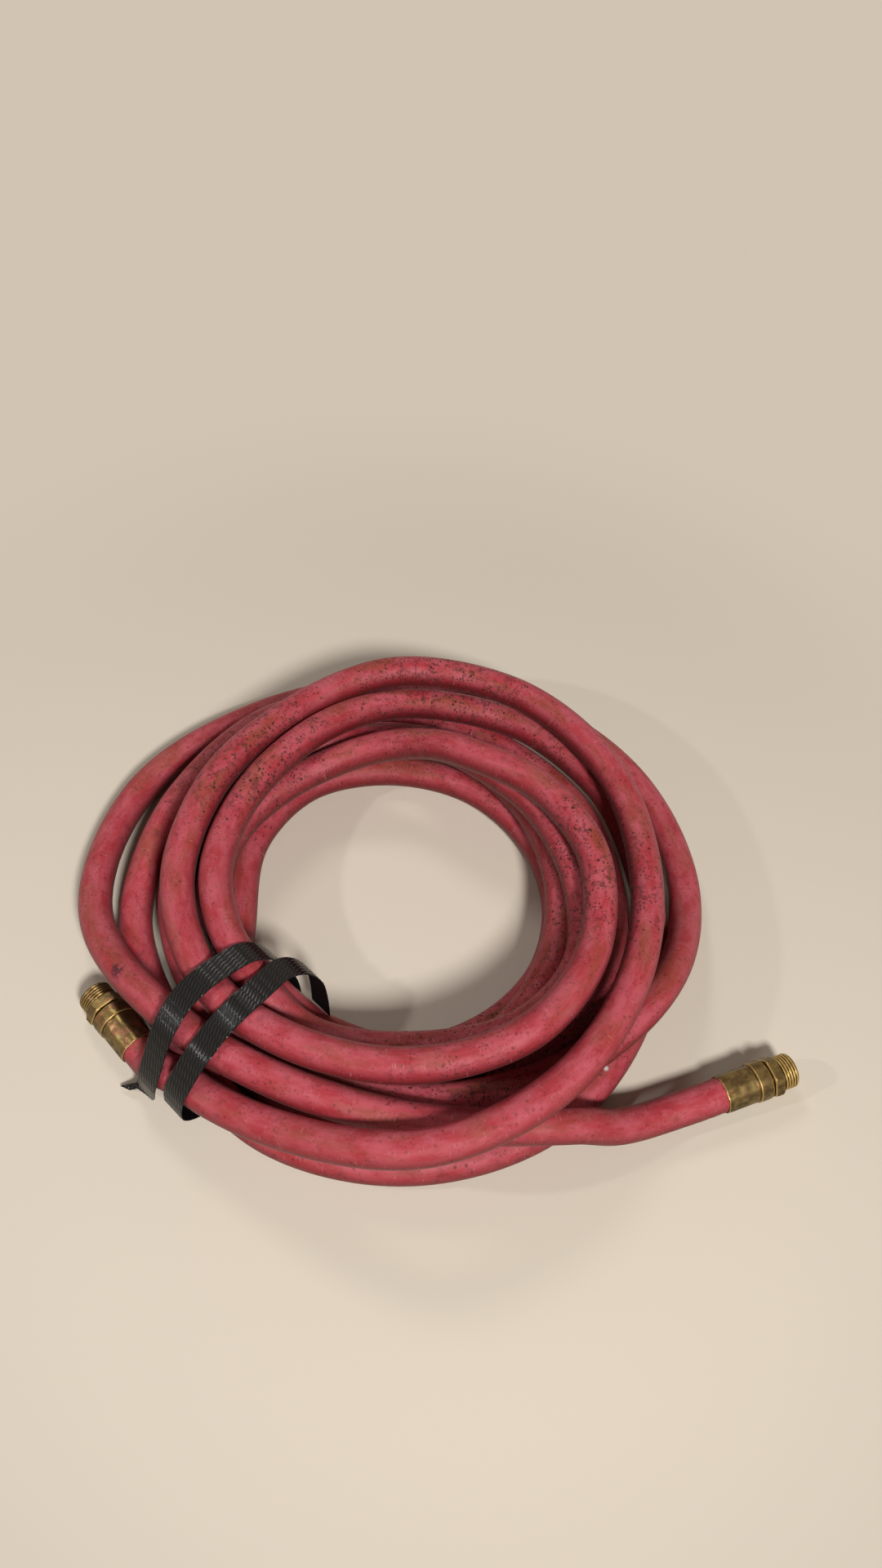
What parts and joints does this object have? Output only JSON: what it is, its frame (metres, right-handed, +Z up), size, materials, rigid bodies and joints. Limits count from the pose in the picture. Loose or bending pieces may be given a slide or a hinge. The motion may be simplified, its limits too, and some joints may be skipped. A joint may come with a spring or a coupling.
{
  "type": "rubber gas tubing",
  "caption": "Loosely coiled red rubber gas hose with a crimped, threaded brass fitting at each end, bound with a black embossed strap.",
  "frame": {"origin": "centre of the footprint, on the surface the coil lies on", "axes": "+Z up, +X to the right in the picture along the bench's back edge, +Y away from the camera towards the wall"},
  "size_m": [0.4459, 0.3915, 0.0886],
  "materials": {
    "hose_rubber": "satin, cloth-impressed, speckled and worn",
    "ferrule_brass": "tarnished, crimped",
    "stem_brass": "machined, tarnished in the thread",
    "strap_plastic": "glossy, embossed with slanting diamonds"
  },
  "bodies": {
    "root": {"hose": "hose_rubber", "left_ferrule": "ferrule_brass", "left_stem": "stem_brass", "right_ferrule": "ferrule_brass", "right_stem": "stem_brass", "strap": "strap_plastic"}
  },
  "joints": []
}
